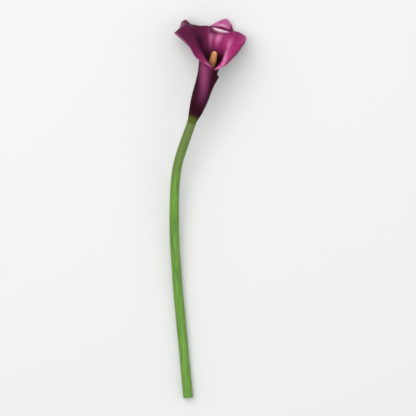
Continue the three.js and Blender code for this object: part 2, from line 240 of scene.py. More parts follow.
# Neck of the stem inside the spathe's base: height and radius.
NECK = [(0.15, 3.0), (0.2, 2.2), (4.3, 2.2), (4.5, 1.9)]


def colour(code):
    """Scene-linear colour of an sRGB code such as "#8C2F68".

    Each channel c becomes ((c + 0.055) / 1.055) ** 2.4.
    """
    channels = np.array([int(code[i:i + 2], 16) for i in (1, 3, 5)]) / 255
    return (*((channels + 0.055) / 1.055) ** 2.4, 1.0)


# ---------------------------------------------------------------- curves


def unit(v):
    """Vectors brought to length 1."""
    return v / np.linalg.norm(v, axis=-1, keepdims=True)


def ease(t):
    """Rises smoothly from 0 to 1 as t does: 3 s^2 - 2 s^3, with s held between 0 and 1."""
    s = np.clip(t, 0, 1)
    return s * s * (3 - 2 * s)


def hump(x, middle, spread):
    """Bell round a middle: e to the power of minus the squared distance in spreads."""
    return np.exp(-(((x - middle) / spread) ** 2))


def knot_slopes(place, values):
    """Slope at each knot: the mean of both sides' slopes, each weighted by the other side's width.

    The knot at an end takes the slope of its one side.
    """
    width = np.diff(place, axis=-1)[..., None]
    rise = np.diff(values, axis=-2) / width
    left, right = width[..., :-1, :], width[..., 1:, :]
    inner = (rise[..., :-1, :] * right + rise[..., 1:, :] * left) / (left + right)
    return np.concatenate([rise[..., :1, :], inner, rise[..., -1:, :]], axis=-2)


def hermite(p, q, m, n, h, s):
    """Cubic that leaves p with slope m and reaches q with slope n over a length h, at its share s."""
    rise, fall = s * (1 - s) ** 2, s * s * (1 - s)
    return p * (1 + 2 * s) * (1 - s) ** 2 + m * h * rise + q * s * s * (3 - 2 * s) - n * h * fall


def through(rows, at):
    """Smooth curve through rows of (position, values...), at any array of positions."""
    rows, at = np.array(rows, float), np.asarray(at, float)
    place, values = rows[:, 0], rows[:, 1:]
    slopes = knot_slopes(place, values)
    i = np.clip(np.searchsorted(place, at, side="right") - 1, 0, len(place) - 2)
    h = (place[i + 1] - place[i])[..., None]
    s = (at - place[i])[..., None] / h
    return hermite(values[i], values[i + 1], slopes[i], slopes[i + 1], h, s)


def centre(y):
    """Points of the centre line at heights y; it never sinks below the lying part."""
    x, z = np.moveaxis(through(SPINE, y), -1, 0)
    return np.stack([x, y + 0 * x, np.maximum(z, LYING)], -1)


def axes(y):
    """Axes across the centre line, whose course is taken over a millimetre: to the right, and up."""
    along = unit(centre(y + 0.5) - centre(y - 0.5))
    side = unit(np.cross(along, [0.0, 0.0, 1.0]))
    return side, np.cross(side, along)


def around(y, azimuth, radius):
    """Points at a radius round the centre line: centre + r sin(azimuth) side - r cos(azimuth) front."""
    y, azimuth, radius = np.broadcast_arrays(y, azimuth, radius)
    side, front = axes(y)
    a = np.radians(azimuth)
    right, up = radius * np.sin(a), radius * np.cos(a)
    return centre(y) + right[..., None] * side - up[..., None] * front


# ---------------------------------------------------------------- meshes


def mesh_object(name, points, faces, marks, uv=None):
    """A smooth mesh object at the origin, from millimetre points.

    Marks are float attributes by point. The UV map, where there is one, is given by point too.
    """
    mesh = bpy.data.meshes.new(name)
    mesh.from_pydata(((points - MIDDLE) * MM).tolist(), [], faces)
    mesh.polygons.foreach_set("use_smooth", np.ones(len(mesh.polygons), bool))
    if uv is not None:
        corners = np.empty(len(mesh.loops), int)
        mesh.loops.foreach_get("vertex_index", corners)
        mesh.uv_layers.new(name="surface").data.foreach_set("uv", uv[corners].ravel())
    for label, values in marks.items():
        mesh.attributes.new(label, "FLOAT", "POINT").data.foreach_set("value", np.ravel(values))
    mesh.validate()
    made = bpy.data.objects.new(name, mesh)
    bpy.context.scene.collection.objects.link(made)
    return made


def loop_faces(wide, high):
    """Four-sided faces of a grid of points stored column by column, each column a closed loop."""
    c, r = np.meshgrid(np.arange(wide - 1), np.arange(high), indexing="ij")
    a, b = c * high + r, c * high + (r + 1) % high
    return np.stack([b, b + high, a + high, a], -1).reshape(-1, 4)


def capped_tube(name, rings, start, end, marks):
    """A closed skin over rings of points, shaped (rings, sides, 3), with a pole at each end.

    A pole takes the mean of each mark over its ring.
    """
    count, sides = rings.shape[:2]
    i = np.arange(sides)
    j = (i + 1) % sides
    r = np.arange(count - 1)[:, None] * sides
    body = np.stack([r + i, r + j, r + j + sides, r + i + sides], -1).reshape(-1, 4)
    first, last = count * sides, count * sides + 1
    low = np.stack([j, i, np.full(sides, first)], -1)
    high = np.stack([i + (count - 1) * sides, j + (count - 1) * sides, np.full(sides, last)], -1)
    points = np.concatenate([rings.reshape(-1, 3), [start, end]])
    marks = {label: np.concatenate([values.ravel(), [np.mean(values[0]), np.mean(values[-1])]])
             for label, values in marks.items()}
    return mesh_object(name, points, body.tolist() + low.tolist() + high.tolist(), marks)


# ---------------------------------------------------------------- materials


def add(tree, kind, inputs=(), **options):
    """A node with its options set, and its inputs joined to sockets or given values."""
    made = tree.nodes.new(kind)
    for name, value in options.items():
        setattr(made, name, value)
    for key, value in dict(inputs).items():
        if isinstance(value, bpy.types.NodeSocket):
            tree.links.new(value, made.inputs[key])
        else:
            made.inputs[key].default_value = value
    return made


def blank(name):
    """A material with only a shader and its output. Gives the material, its tree and the shader."""
    made = bpy.data.materials.new(name)
    made.use_nodes = True
    tree = made.node_tree
    tree.nodes.clear()
    shader = add(tree, "ShaderNodeBsdfPrincipled")
    add(tree, "ShaderNodeOutputMaterial", {"Surface": shader.outputs[0]})
    return made, tree, shader


def mixed(tree, share, a, b, way="MIX"):
    """Two colours mixed by a share."""
    inputs = {0: share, 6: a, 7: b}
    return add(tree, "ShaderNodeMix", inputs, data_type="RGBA", blend_type=way).outputs[2]


def tinted(tree, share, skin, tint):
    """A colour multiplied by a tint, by a share."""
    return mixed(tree, share, skin, tint, "MULTIPLY")


def maths(tree, operation, a, b=0.0):
    """One step of arithmetic."""
    return add(tree, "ShaderNodeMath", {0: a, 1: b}, operation=operation).outputs[0]


def times(tree, a, b):
    """A product of two values."""
    return maths(tree, "MULTIPLY", a, b)


def weighted(tree, first, *others):
    """A sum of values, each times its weight, from pairs of value and weight."""
    total = times(tree, *first)
    for value, weight in others:
        total = maths(tree, "ADD", total, times(tree, value, weight))
    return total


def ranged(tree, value, low, high, to_low=0.0, to_high=1.0):
    """A value stretched from one range to another and held inside it."""
    names = {"Value": value, 1: low, 2: high, 3: to_low, 4: to_high}
    return add(tree, "ShaderNodeMapRange", names).outputs[0]


def mark(tree, name):
    """The value of a float attribute of the mesh."""
    return add(tree, "ShaderNodeAttribute", attribute_name=name).outputs["Fac"]


def noise(tree, vector, scale, detail=3.0, roughness=0.55):
    """Soft noise at a scale, about 0 to 1."""
    inputs = {"Vector": vector, "Scale": scale, "Detail": detail, "Roughness": roughness}
    return add(tree, "ShaderNodeTexNoise", inputs).outputs["Fac"]


def stretched(tree, vector, scale):
    """A vector scaled by a different amount along each axis."""
    return add(tree, "ShaderNodeMapping", {"Vector": vector, "Scale": scale}).outputs[0]


def raised(tree, height, distance, strength):
    """Bump from a height, its distance in metres."""
    inputs = {"Height": height, "Distance": distance, "Strength": strength}
    return add(tree, "ShaderNodeBump", inputs).outputs[0]


def join(tree, shader, skin, bump, roughness):
    """Joins a skin's colour, bump and roughness to its shader."""
    for name, value in (("Base Color", skin), ("Normal", bump), ("Roughness", roughness)):
        tree.links.new(value, shader.inputs[name])


def soften(shader, weight, radius, scale):
    """Lets light into a skin: how much, how far for red, green and blue, and that reach in metres."""
    for name, value in (("Weight", weight), ("Radius", radius), ("Scale", scale)):
        shader.inputs["Subsurface " + name].default_value = value


# ---------------------------------------------------------------- spathe


class SpatheSettings(bpy.types.PropertyGroup):
    """Sizes and colours of the spathe."""

    tube_thickness: bpy.props.FloatProperty(
        name="Tube thickness", description="Thickness of the sheet where it is rolled into the tube",
        default=0.0009, min=0.0004, max=0.0012, unit="LENGTH")
    rim_thickness: bpy.props.FloatProperty(
        name="Rim thickness", description="Thickness of the sheet just before its edge",
        default=0.00045, min=0.0002, max=0.0009, unit="LENGTH")
    veins: bpy.props.IntProperty(
        name="Veins", description="Broad veins in one turn of the sheet", default=40, min=0, max=80)
    vein_height: bpy.props.FloatProperty(
        name="Vein height", description="How far the broad veins stand out",
        default=0.00006, min=0, max=0.0003, unit="LENGTH")
    plum: bpy.props.FloatVectorProperty(
        name="Plum", description="Dull plum inside the left side and on the back of the limb",
        default=colour("#5C1A3E"), size=4, subtype="COLOR", min=0, max=1)
    magenta: bpy.props.FloatVectorProperty(
        name="Magenta", description="Clear magenta inside the right side",
        default=colour("#A02B6A"), size=4, subtype="COLOR", min=0, max=1)
    # Pink of the painted highlights inside the right side, on the tip and on the left lobe.
    pink: bpy.props.FloatVectorProperty(
        name="Pink", description="Light pink of the right rim and of the tip",
        default=colour("#DC84B8"), size=4, subtype="COLOR", min=0, max=1)
    # Whitish pink of the painted highlight along the crest of the fold at the tip.
    painted_pale_highlight: bpy.props.FloatVectorProperty(
        name="Pale streak", description="Whitish streak along the fold at the tip",
        default=colour("#F6E2F0"), size=4, subtype="COLOR", min=0, max=1)
    # Blackish purple: the outside's own dark colour, also painted as shade in the throat, beside the
    # fold and down the tube's sides.
    deep_purple_and_shade: bpy.props.FloatVectorProperty(
        name="Deep purple", description="Blackish purple in the throat and on the tube's sides",
        default=colour("#2E0318"), size=4, subtype="COLOR", min=0, max=1)
    # Greyish lilac of the painted highlight up the front of the tube.
    lilac_highlight: bpy.props.FloatVectorProperty(
        name="Lilac", description="Greyish lilac bloom up the front of the tube",
        default=colour("#8C3E69"), size=4, subtype="COLOR", min=0, max=1)
    green: bpy.props.FloatVectorProperty(
        name="Base green", description="Olive green where the spathe grows out of the stem",
        default=colour("#55601F"), size=4, subtype="COLOR", min=0, max=1)


def tube_point(azimuth, y, flare=0.0):
    """Points of the rolled tube: its radius, less the spiral for each half turn, plus the flare."""
    spiral = SPIRAL_AT_BASE + (SPIRAL - SPIRAL_AT_BASE) * ease(y / SPIRAL_FULL)
    radius = through(TUBE, y)[..., 0] - spiral * (azimuth - SPIRAL_MIDDLE) / 180
    return around(y, azimuth, radius + flare)


def tube_knots(azimuth, throat):
    """Knots of the tube part of each line, from the base to the throat."""
    y = SHEET_START + (throat[:, None] - SHEET_START) * TUBE_SHARES
    return tube_point(azimuth[:, None], y)


def margin_knots(azimuth, table, past):
    """Knots of lines that end at a margin on the tube; past is how far they are from the limb.

    The flare grows with the square of the share of the way from the tube part to the margin.
    """
    margin = through(table, azimuth)[:, 0]
    near, far = THROAT_SHARES
    share = near + (far - near) * ease(past / SHARE_REACH)
    throat = SHEET_START + (margin - SHEET_START) * share
    flare = FLARE * hump(azimuth, FLARE_AZIMUTH, FLARE_SPREAD)
    y = throat[:, None] + (margin - throat)[:, None] * MARGIN_SHARES
    rest = tube_point(azimuth[:, None], y, flare[:, None] * MARGIN_SHARES**2)
    return np.concatenate([tube_knots(azimuth, throat), rest], axis=1)


def limb_knots(azimuth):
    """Knots of lines that run up the tube and the wall, and over the crest and the roll to the edge."""
    opening = ease(np.minimum(azimuth - LIMB_FROM, LIMB_TO - azimuth) / NOTCH_REACH)
    throat = NOTCH + (THROAT - NOTCH) * opening
    tube = tube_knots(azimuth, throat)
    limb = through(LIMB, azimuth).reshape(-1, 3, 3)
    start, crest = tube[:, -1], limb[:, 0]
    inward = centre(throat) - around(throat, azimuth, 1.0)
    bow = np.linalg.norm(crest - start, axis=-1) * WALL_BOW * opening
    wall = start + WALL_SHARE * (crest - start) + bow[:, None] * inward
    return np.concatenate([tube, wall[:, None], limb], axis=1)


def sheet_lines(azimuth, rows):
    """All lines of the sheet: a smooth curve through each line's knots, spaced by their distance."""
    outer, inner = azimuth < LIMB_FROM, azimuth > LIMB_TO
    limb = ~(outer | inner)
    knots = np.empty((len(azimuth), len(KNOTS), 3))
    knots[outer] = margin_knots(azimuth[outer], OUTER_MARGIN, LIMB_FROM - azimuth[outer])
    knots[inner] = margin_knots(azimuth[inner], INNER_MARGIN, azimuth[inner] - LIMB_TO)
    knots[limb] = limb_knots(azimuth[limb])
    width = np.linalg.norm(np.diff(knots, axis=1), axis=-1)
    place = np.concatenate([np.zeros((len(azimuth), 1)), np.cumsum(width, axis=1)], axis=1)
    slopes = knot_slopes(place, knots)
    i = np.clip(np.searchsorted(KNOTS, rows, side="right") - 1, 0, len(KNOTS) - 2)
    s = ((rows - KNOTS[i]) / (KNOTS[i + 1] - KNOTS[i]))[:, None]
    h = width[:, i][..., None]
    return hermite(knots[:, i], knots[:, i + 1], slopes[:, i], slopes[:, i + 1], h, s)


def evened(values, rounds):
    """A grid of vectors, each made the mean of four neighbours and twice itself, for some rounds."""
    for _ in range(rounds):
        padded = np.pad(values, ((1, 1), (1, 1), (0, 0)), mode="edge")
        values = (padded[1:-1, 1:-1] * 2 + padded[2:, 1:-1] + padded[:-2, 1:-1]
                  + padded[1:-1, 2:] + padded[1:-1, :-2]) / 6
    return values


def sheet_normals(grid):
    """Directions into the tube: the cross product of across and along, evened over the neighbours."""
    across, along = np.gradient(grid, axis=0), np.gradient(grid, axis=1)
    return unit(evened(unit(np.cross(across, along)), 3))


def spathe_marks(a, v):
    """Where each colour lies on the sheet, by azimuth a and share v of the way from base to edge.

    Each zone is a product of eases and bells in a and v, in this order: the magenta; the painted
    highlights in pink; the throat's darker purple together with painted shade; the whitish painted
    highlights; the painted lilac highlight up the front of the tube; the green base; and the back of
    the limb.
    """
    # Magenta: the limb's right side and some of its lower left. Lilac: a painted highlight up the front
    # of the tube.
    limb = ease((v - 0.4) / 0.12)
    right_side = ease((a + 25) / 95) * (1 - 0.35 * hump(a, 64, 14) * ease((v - 0.7) / 0.05))
    left_lower = 0.5 * hump(a, -192, 38) * limb
    front = hump(a, -196 + 40 * ease((v - 0.24) / 0.22), 31) * ease((v - 0.12) / 0.28)

    # Pink painted highlights: the band up the right wall and round its hollow, the right lobe's corner,
    # two streaks up the back wall, the tip, the left lobe's knob and the left lapel by the notch. A
    # lighter pink hem runs along the left rim's edge.
    bend = np.interp(v, (0.6, 0.625, 0.675, 0.72), (82, 73, 62, 56))
    band = 0.95 * hump(a, bend, 11) * hump(v, 0.645, 0.05)
    hollow = np.interp(a, (92, 108, 126, 132, 137), (0.69, 0.73, 0.82, 0.88, 0.95))
    band = np.maximum(band, 0.9 * hump(v, hollow, 0.055) * ease((a - 86) / 14))
    corner = 0.3 * hump(a, 80, 10) * hump(v, 0.88, 0.06)
    streaks = (0.45 * hump(a, 11, 6) * hump(v, 0.675, 0.065)
               + 0.75 * hump(a, 29, 6) * hump(v, 0.69, 0.055))
    tip = ease((a + 2) / 12) * (1 - ease((a - 31) / 9)) * ease((v - 0.885) / 0.04)
    knob = 0.45 * hump(a, -78, 9) * ease((v - 0.88) / 0.06)
    hem = 0.35 * ease((v - 0.965) / 0.025) * ease((-a - 88) / 12) * ease((a + 190) / 30)
    hem = np.maximum(hem, 0.6 * hump(a, -195, 9) * ease((v - 0.9) / 0.07))

    # Painted shade, in the throat together with its own darker purple: the throat, the left wall in the
    # shadow of the left lobe, shadow lines above, below and at the ends of the fold, the shaded
    # underside of the rolled right rim, a shadow line on the lapel on the left, shade under the crest
    # of the back and left walls, and the shadow in the left rim's crease.
    reach = np.interp(a, *np.transpose(THROAT_REACH))
    throat = 1 - ease((v - reach + 0.07) / 0.1)
    left_wall = ease((-a - 2) / 45) * (1 - ease((v - 0.68) / 0.16))
    left_wall = (0.8 - 0.55 * ease((v - 0.63) / 0.08)) * left_wall
    above = np.interp(a, (-8, 6, 14, 26, 34, 42, 54), (0, 0.4, 0.45, 0.45, 0.8, 0.75, 0))
    above = above * hump(v, 0.836, 0.017)
    below = np.interp(a, (2, 9, 14, 19, 25, 32, 40, 46, 54),
                      (0, 0.45, 0.6, 0.58, 0.45, 0.4, 0.4, 0.35, 0))
    below = below * hump(v, 0.735 + 0.0011 * (a - 16), 0.014)
    ends = (0.65 * hump(a, 10.5, 4) * hump(v, 0.77, 0.045)
            + 0.5 * hump(a, 42, 6) * ease((v - 0.82) / 0.05))
    rim = 0.4 * ease((v - 0.88) / 0.07) * ease((a - 60) / 20) * (1 - ease((a - 112) / 14))
    lapel = 0.2 * (ease((-a - 70) / 30) * ease((v - 0.78) / 0.08)) * hump(a, -115, 45)
    crest = (0.35 + 0.4 * hump(a, -25, 28)) * hump(v, 0.81, 0.03) * ease((6 - a) / 20)
    under = np.interp(a, (-184, -172, -158, -100), (0.88, 0.83, 0.79, 0.77))
    crease = 0.35 * hump(v, under, 0.022) * ease((-a - 40) / 40)
    dark_throat_and_painted_shade = np.maximum(throat, left_wall) + above + below + ends + rim + lapel + crest + crease

    # Painted highlights in whitish pink: the lens-shaped streak along the crest of the fold, and a
    # faint one on the tip.
    fold = ease((a - 9) / 8) * (1 - ease((a - 36) / 9)) * (1 - 0.25 * ease((a - 26) / 10))
    lens = np.interp(a, (9, 18, 30, 42), (0.008, 0.015, 0.017, 0.008))
    painted_pale_highlight = fold * 1.1 * hump(v, 0.781, lens) + 0.5 * hump(a, 26, 7) * hump(v, 0.905, 0.02)
    return {
        "flush": np.clip(right_side + left_lower, 0, 1) * limb,
        "dark_throat_and_painted_shade": np.clip(dark_throat_and_painted_shade, 0, 1),
        "painted_highlight": np.clip(0.85 * band + corner + streaks + 0.6 * tip + knob + hem, 0, 1),
        "painted_pale_highlight": np.clip(painted_pale_highlight, 0, 1),
        # The painted lilac highlight up the front of the tube, and a faint one on the outer flap.
        "painted_tube_highlight": np.clip(front + 0.14 * hump(a, -265, 22) * ease((v - 0.2) / 0.2), 0, 1),
        "green": (1 - ease(v / 0.105)) * np.ones_like(a),
        "open": ease((v - 0.42) / 0.25) * ease((a - LIMB_FROM) / 16) * ease((LIMB_TO - a) / 12),
    }


def spathe_points(settings, azimuth, rows):
    """Inner and outer face of the sheet.

    The middle surface is moved inwards by waves, veins and the fold's relief, which are sines, cosines
    and bells of azimuth and share. The faces lie half the thickness to each side of it and never under
    the table, and each rounds off at the edge by a quarter of an ellipse.
    """
    grid = sheet_lines(azimuth, rows)
    inward = sheet_normals(grid)
    a, v = azimuth[:, None], rows[None, :]
    free = ease((v - 0.45) / 0.4) * ease((a - LIMB_FROM) / 30) * ease((LIMB_TO - a) / 30)
    turn = np.radians(a)
    waves = LONG_WAVE * np.sin(5 * turn + 3 * v + 0.6) * np.sin(9 * v)
    waves = waves + SHORT_WAVE * np.sin(13 * turn - 5 * v)
    broad = settings.vein_height / MM
    veins = broad * np.cos(settings.veins * turn + 0.8 * np.sin(7 * v))
    veins = veins + FINE_VEINS * broad * np.cos(2.6 * settings.veins * turn + 1.3 * np.sin(11 * v + 2))
    veins = veins * ease(v / 0.1) * (1 - ease((v - 0.93) / 0.07))
    fold = ease((a - 4) / 8) * (1 - ease((a - 38) / 7))
    lip = fold * sum(rise * hump(v, middle, spread) for rise, middle, spread in FOLD_RELIEF)
    height = free * waves + veins + lip
    middle = grid + height[..., None] * inward
    tube, rim = settings.tube_thickness / MM, settings.rim_thickness / MM
    thick = tube + (rim - tube) * ease((v - 0.35) / 0.6)
    thick = thick * (BASE_SHARE + (1 - BASE_SHARE) * ease((grid[..., 1] - BASE_UP_TO) / BASE_OVER))
    edge = np.sqrt(np.clip(1 - np.clip((v - EDGE_FROM) / (1 - EDGE_FROM), 0, 1) ** 2, 0, 1))
    half = (thick * edge / 2 + 0 * a)[..., None]
    faces = [middle + side * half * inward for side in (1, -1)]
    for face in faces:
        face[..., 2] = np.maximum(face[..., 2], 0)
    return faces


def folded(front, back):
    """Columns that run up one grid and down the other, which share the row at the edge."""
    return np.concatenate([front, back[:, -2::-1]], axis=1)


def make_spathe(settings):
    """The rolled sheet: each column of points runs up the inner face and down the outer one."""
    ends = [a for a, _ in SECTORS[1:]] + [LAST_AZIMUTH]
    spans = [np.linspace(a, b, n, endpoint=False) for (a, n), b in zip(SECTORS, ends)]
    azimuth = np.concatenate(spans + [[LAST_AZIMUTH]])
    rows = np.concatenate([np.linspace(0, TUBE_END, TUBE_ROWS, endpoint=False),
                           np.linspace(TUBE_END, EDGE_FROM, LIMB_ROWS), EDGE_ROWS])
    loop = folded(*spathe_points(settings, azimuth, rows))
    wide, high, along = len(azimuth), len(rows), loop.shape[1]
    faces = loop_faces(wide, along).tolist()

    # The first and the last column are closed by a strip of faces between their two sides.
    up, down = np.arange(high - 1), along - np.arange(high - 1)
    for c, turned in ((0, False), (wide - 1, True)):
        front, back = c * along + up, c * along + down % along
        ring = np.stack([front, np.append(front[1:], c * along + high - 1),
                         np.append(back[1:], c * along + high - 1), back], -1)
        caps = [list(dict.fromkeys(face)) for face in ring.tolist()]
        faces += [face if turned else face[::-1] for face in caps]

    a, v = azimuth[:, None] + 0 * rows, rows + 0 * azimuth[:, None]
    marks = {label: folded(grid, grid) for label, grid in spathe_marks(a, v).items()}
    side = np.concatenate([np.ones(high - 1), [0.5], np.zeros(high - 1)])
    marks["inner"] = np.broadcast_to(side, (wide, along))
    share = (a - azimuth[0]) / 360
    uv = np.stack([folded(share, share), folded(v, v)], -1).reshape(-1, 2)
    return mesh_object("spathe_sheet", loop.reshape(-1, 3), faces, marks, uv)


# Tints that the spathe's skin is multiplied with: in its dark streaks, in its bright fibres, along its
# crossing veins and in its clouds.
STREAK_TINT = (0.35, 0.3, 0.35, 1)
FIBRE_TINT = (1.7, 1.6, 1.7, 1)
VEIN_TINT = (0.5, 0.35, 0.5, 1)
CLOUD_TINT = (0.75, 0.6, 0.7, 1)

# How often the streaks, fibres and crossing veins repeat round the sheet and along it.
STREAKS = (70, 2.2, 1)
FIBRES = (260, 5.0, 1)
CROSSINGS = (110, 1.6, 1)


def spathe_material(settings):
    """Waxy skin: plum to magenta inside, with painted pink highlights and a dark throat deepened by
    painted shade; blackish purple outside, standing for shade down the tube's sides, with a painted
    lilac highlight up its front.

    Fine streaks, fibres and crossing veins run along the sheet, in colour and in relief.
    """
    made, tree, shader = blank("spathe_skin_detail")
    surface = add(tree, "ShaderNodeUVMap", uv_map="surface").outputs[0]
    place = add(tree, "ShaderNodeTexCoord").outputs["Object"]
    streaks = noise(tree, stretched(tree, surface, STREAKS), 1.0, 4.0, 0.6)
    fibres = noise(tree, stretched(tree, surface, FIBRES), 1.0, 2.0, 0.5)
    crossings = noise(tree, stretched(tree, surface, CROSSINGS), 1.0, 1.0, 0.4)
    off_middle = maths(tree, "ABSOLUTE", maths(tree, "SUBTRACT", crossings, 0.5))
    veins = ranged(tree, off_middle, 0.0, 0.045, 1.0, 0.0)
    clouds = noise(tree, place, 70.0)
    grain = noise(tree, place, 2400.0, 2.0)

    inner = mixed(tree, mark(tree, "flush"), settings.plum, settings.magenta)
    # Painted highlights in pink on the inner face.
    inner = mixed(tree, mark(tree, "painted_highlight"), inner, settings.pink)
    # Outside: blackish purple standing for shade down the tube's sides, under a painted lilac highlight
    # up its front.
    outer = mixed(tree, mark(tree, "painted_tube_highlight"), settings.deep_purple_and_shade, settings.lilac_highlight)
    back = mixed(tree, 0.45, settings.plum, settings.magenta)
    outer = mixed(tree, times(tree, mark(tree, "open"), 0.85), outer, back)
    skin = mixed(tree, mark(tree, "inner"), outer, inner)
    # Painted shade in blackish purple over the throat, which is partly its own darker colour, and
    # beside the fold.
    skin = mixed(tree, times(tree, mark(tree, "inner"), mark(tree, "dark_throat_and_painted_shade")), skin, settings.deep_purple_and_shade)
    skin = tinted(tree, ranged(tree, streaks, 0.35, 0.75, 0.0, 0.14), skin, STREAK_TINT)
    skin = tinted(tree, ranged(tree, fibres, 0.45, 0.75, 0.0, 0.16), skin, FIBRE_TINT)
    skin = tinted(tree, times(tree, veins, 0.3), skin, VEIN_TINT)
    skin = tinted(tree, ranged(tree, clouds, 0.4, 0.8, 0.0, 0.3), skin, CLOUD_TINT)
    # Painted whitish highlight along the crest of the fold and on the tip.
    painted_pale_highlight = times(tree, mark(tree, "painted_pale_highlight"), ranged(tree, fibres, 0.3, 0.7, 0.95, 0.6))
    skin = mixed(tree, painted_pale_highlight, skin, settings.painted_pale_highlight)
    green = maths(tree, "ADD", mark(tree, "green"), ranged(tree, streaks, 0.3, 0.7, -0.35, 0.35))
    green = times(tree, ranged(tree, green, 0.2, 0.8), ranged(tree, mark(tree, "green"), 0.0, 0.3))
    skin = mixed(tree, green, skin, settings.green)

    streak = ranged(tree, streaks, 0.3, 0.7)
    relief = weighted(tree, (streak, 0.7), (fibres, 0.5), (grain, 0.12), (veins, 0.3))
    bump = raised(tree, relief, 0.00012, 0.6)
    join(tree, shader, skin, bump, ranged(tree, clouds, 0.2, 0.8, 0.46, 0.6))
    soften(shader, 0.12, (1.0, 0.25, 0.5), 0.0012)
    shader.inputs["Specular IOR Level"].default_value = 0.06
    return made


class FLOWER_OT_spathe(bpy.types.Operator):
    """Makes the rolled spathe with its flaring limb"""

    bl_idname = "flower.spathe"
    bl_label = "Spathe"

    def execute(self, context):
        settings = context.scene.flower_spathe
        spathe = make_spathe(settings)
        spathe.data.materials.append(spathe_material(settings))
        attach(spathe, "root")
        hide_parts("spathe")
        return {"FINISHED"}


# ---------------------------------------------------------------- spadix


class SpadixSettings(bpy.types.PropertyGroup):
    """Florets and colours of the spadix."""

    florets_round: bpy.props.IntProperty(
        name="Florets round", description="Florets in one row round the spadix",
        default=22, min=8, max=30)
    floret_pitch: bpy.props.FloatProperty(
        name="Floret pitch", description="Length that one floret takes along the spadix",
        default=0.0009, min=0.0006, max=0.003, unit="LENGTH")
    floret_height: bpy.props.FloatProperty(
        name="Floret height", description="How far the florets stand out of their grooves",
        default=0.00026, min=0, max=0.0008, unit="LENGTH")
    tip: bpy.props.FloatVectorProperty(
        name="Tip", description="Orange yellow of the ripe florets at the tip",
        default=colour("#F8BC74"), size=4, subtype="COLOR", min=0, max=1)
    lower: bpy.props.FloatVectorProperty(
        name="Lower", description="Orange brown of the florets further down",
        default=colour("#CC8650"), size=4, subtype="COLOR", min=0, max=1)
    # Brown of the painted shade in the grooves between the florets.
    groove_shade: bpy.props.FloatVectorProperty(
        name="Groove", description="Brown between the florets",
        default=colour("#7E3C20"), size=4, subtype="COLOR", min=0, max=1)


def make_spadix(settings):
    """The finger of florets, with its rings closer together towards the tip.

    Two families of spiral grooves cross. A floret's height is the product of the sines of the two
    groove counts, to a low power, times a share of its own: the fraction left of a large sine of its
    two numbers. The left side is marked for painted shade in brown, which ends below the tip.
    """
    share = np.linspace(0, 1, SPADIX_RINGS)
    length = SPADIX_END - LAST_RING_BELOW - SPADIX_START
    y = (SPADIX_START + length * (1 - (1 - share) ** RING_CROWDING))[:, None]
    azimuth = (360 * np.arange(SPADIX_SIDES) / SPADIX_SIDES)[None, :]
    turn = np.radians(azimuth)
    column = (settings.florets_round * azimuth / 360
              + 0.16 * np.sin(1.7 * y + 3 * turn) + 0.1 * np.sin(4.1 * y - 5 * turn))
    row = (y / (settings.floret_pitch / MM)
           + 0.18 * np.sin(4 * turn + 0.9 * y) + 0.12 * np.sin(7 * turn - 2.3 * y))
    one, two = column + row, column - row
    size = np.abs(np.sin(np.pi * one) * np.sin(np.pi * two)) ** FLORET_POWER
    p, q, r = LOT_FACTORS
    lot = np.modf(np.abs(np.sin(np.floor(one) * p + np.floor(two) * q)) * r)[0]
    fade = np.clip(np.minimum((y - SPADIX_START) / 3, (SPADIX_END - y) / 0.8), 0, 1)
    relief = settings.floret_height / MM * fade * (size * (0.6 + 0.6 * lot) - 0.6)
    down = np.clip((y - SPADIX_END + SPADIX_ROUND) / SPADIX_ROUND, 0, 1)
    radius = through(SPADIX, y)[..., 0] * np.sqrt(np.clip(1 - down**2, 0.0002, 1))
    rings = around(y, azimuth, radius + relief)
    bend = SPADIX_BEND * hump(y, SPADIX_BENT_AT, SPADIX_BENT_OVER)
    rings[..., 0] += SPADIX_SHIFT * share[:, None] + bend
    height = (y - SPADIX_START) / (SPADIX_END - SPADIX_START) + 0 * azimuth
    # Painted shade: the left side, darker brown, which ends below the tip.
    side = np.clip(0.15 - np.sin(turn), 0, 1) * ease((59 - y) / 3)
    marks = {"floret": 1 - fade * (1 - size), "height": height, "lot": lot + 0 * row, "side": side}
    return capped_tube("spadix_florets", rings, rings[0].mean(0), rings[-1].mean(0), marks)


# Pollen on the florets, and the tint of the painted shade low in the throat and on the left side.
POLLEN = colour("#F8CE84")
SHADE_TINT = (0.42, 0.25, 0.38, 1)


def spadix_material(settings):
    """Waxy florets, painted brown as shade in the grooves and orange brown on the sides, painted darker
    as shade low in the throat and on the left side, paler and yellower at the tip.

    Grains of pollen give the colour, the bump and the roughness their specks.
    """
    made, tree, shader = blank("spadix_skin_detail")
    place = add(tree, "ShaderNodeTexCoord").outputs["Object"]
    pollen = noise(tree, place, 2600.0, 3.0, 0.7)
    patches = noise(tree, place, 160.0)
    height = maths(tree, "ADD", mark(tree, "height"), times(tree, patches, 0.12))
    body = mixed(tree, ranged(tree, height, 0.96, 1.06), settings.lower, settings.tip)
    body = mixed(tree, ranged(tree, mark(tree, "lot"), 0.0, 1.0, 0.0, 0.22), body, settings.tip)
    # Painted shade: darker low in the throat and on the left side.
    painted_shade = maths(tree, "MAXIMUM", ranged(tree, height, 0.97, 0.87, 0.0, 0.85),
                   times(tree, mark(tree, "side"), 0.6))
    body = tinted(tree, painted_shade, body, SHADE_TINT)
    # Painted shade: brown in the grooves between the florets.
    groove_shade = tinted(tree, 0.5, settings.groove_shade, body)
    body = mixed(tree, ranged(tree, mark(tree, "floret"), 0.25, 0.75), groove_shade, body)
    body = mixed(tree, ranged(tree, pollen, 0.55, 0.75, 0.0, 0.25), body, POLLEN)
    bump = raised(tree, pollen, 0.00008, 0.7)
    join(tree, shader, body, bump, ranged(tree, pollen, 0.3, 0.7, 0.5, 0.75))
    soften(shader, 0.1, (1.0, 0.5, 0.2), 0.0008)
    return made


